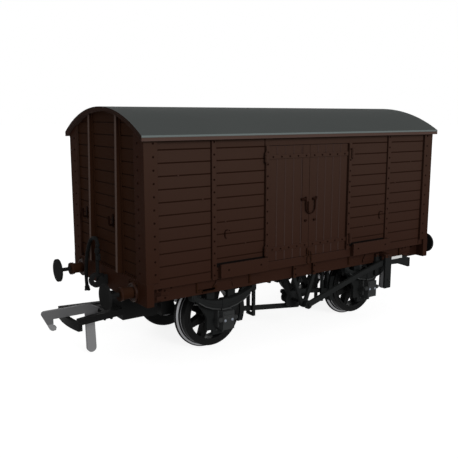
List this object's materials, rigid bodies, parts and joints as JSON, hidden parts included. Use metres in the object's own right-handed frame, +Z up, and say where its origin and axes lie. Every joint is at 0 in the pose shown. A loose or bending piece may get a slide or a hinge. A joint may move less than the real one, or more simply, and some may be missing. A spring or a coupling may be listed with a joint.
{
  "type": "model railway boxcar",
  "caption": "Four-wheel model covered goods van with a planked body, arched roof, double doors, buffers, hook-and-loop couplings and turning wheels.",
  "frame": {"origin": "midway between the wheels, level with the lowest points of the wheel flanges", "axes": "+X along the rails to the right-hand end, +Y across to the far side, +Z up"},
  "size_m": [0.0974, 0.034, 0.046],
  "materials": {
    "body_brown": "satin painted moulding, dark brown",
    "roof_grey": "matt painted moulding, dark grey",
    "underframe_black": "satin black moulding",
    "fitting_black": "satin black moulding",
    "coupler_black": "satin black moulding",
    "wheel_black": "chemically blackened wheel with a brighter tread",
    "axle_steel": "plain turned steel",
    "hook_metal": "dull grey pressed metal",
    "ballast_steel": "plain sheet steel"
  },
  "bodies": {
    "van": {"floor": "body_brown", "solebar_near": "body_brown", "solebar_far": "body_brown", "headstock_left": "body_brown", "headstock_right": "body_brown", "side_near": "body_brown", "side_far": "body_brown", "door_near_left": "body_brown", "door_near_right": "body_brown", "door_far_left": "body_brown", "door_far_right": "body_brown", "end_left": "body_brown", "end_right": "body_brown", "corner_plates": "body_brown", "roof_boards": "body_brown", "roof_canvas": "roof_grey", "ballast_weight": "ballast_steel", "axleguard_near_left": "underframe_black", "axleguard_near_right": "underframe_black", "axleguard_far_left": "underframe_black", "axleguard_far_right": "underframe_black", "axlebox_near_left": "underframe_black", "axlebox_near_right": "underframe_black", "axlebox_far_left": "underframe_black", "axlebox_far_right": "underframe_black", "spring_near_left": "underframe_black", "spring_near_right": "underframe_black", "spring_far_left": "underframe_black", "spring_far_right": "underframe_black", "buffer_socket_near_left": "body_brown", "buffer_socket_near_right": "body_brown", "buffer_socket_far_left": "body_brown", "buffer_socket_far_right": "body_brown", "buffer_head_near_left": "fitting_black", "buffer_head_near_right": "fitting_black", "buffer_head_far_left": "fitting_black", "buffer_head_far_right": "fitting_black", "drawhook_left": "fitting_black", "drawhook_right": "fitting_black", "brake_pipe_left": "fitting_black", "brake_pipe_right": "fitting_black", "coupler_pocket_left": "coupler_black", "coupler_pocket_right": "coupler_black", "coupler_loop_left": "coupler_black", "coupler_loop_right": "coupler_black", "v_hangers": "underframe_black", "brake_shafts": "underframe_black", "brake_rigging_near": "underframe_black", "brake_rigging_far": "underframe_black", "brake_lever_near": "underframe_black", "brake_lever_far": "underframe_black", "lever_guards": "underframe_black"},
    "wheelset_left": {"axle_left": "axle_steel", "wheels_left": "wheel_black"},
    "wheelset_right": {"axle_right": "axle_steel", "wheels_right": "wheel_black"},
    "hook_left": {"coupling_hook_left": "hook_metal"},
    "hook_right": {"coupling_hook_right": "hook_metal"}
  },
  "joints": [
    {"name": "axle_left_spin", "type": "hinge", "parent": "van", "child": "wheelset_left", "pos_m": [-0.019, 0, 0.00705], "axis": [0, 1, 0], "continuous": true},
    {"name": "axle_right_spin", "type": "hinge", "parent": "van", "child": "wheelset_right", "pos_m": [0.019, 0, 0.00705], "axis": [0, 1, 0], "continuous": true},
    {"name": "hook_left_lift", "type": "hinge", "parent": "van", "child": "hook_left", "pos_m": [-0.0373, 0, 0.0083], "axis": [0, 1, 0], "range_deg": [0, 25]},
    {"name": "hook_right_lift", "type": "hinge", "parent": "van", "child": "hook_right", "pos_m": [0.0373, 0, 0.0083], "axis": [0, -1, 0], "range_deg": [0, 25]}
  ]
}
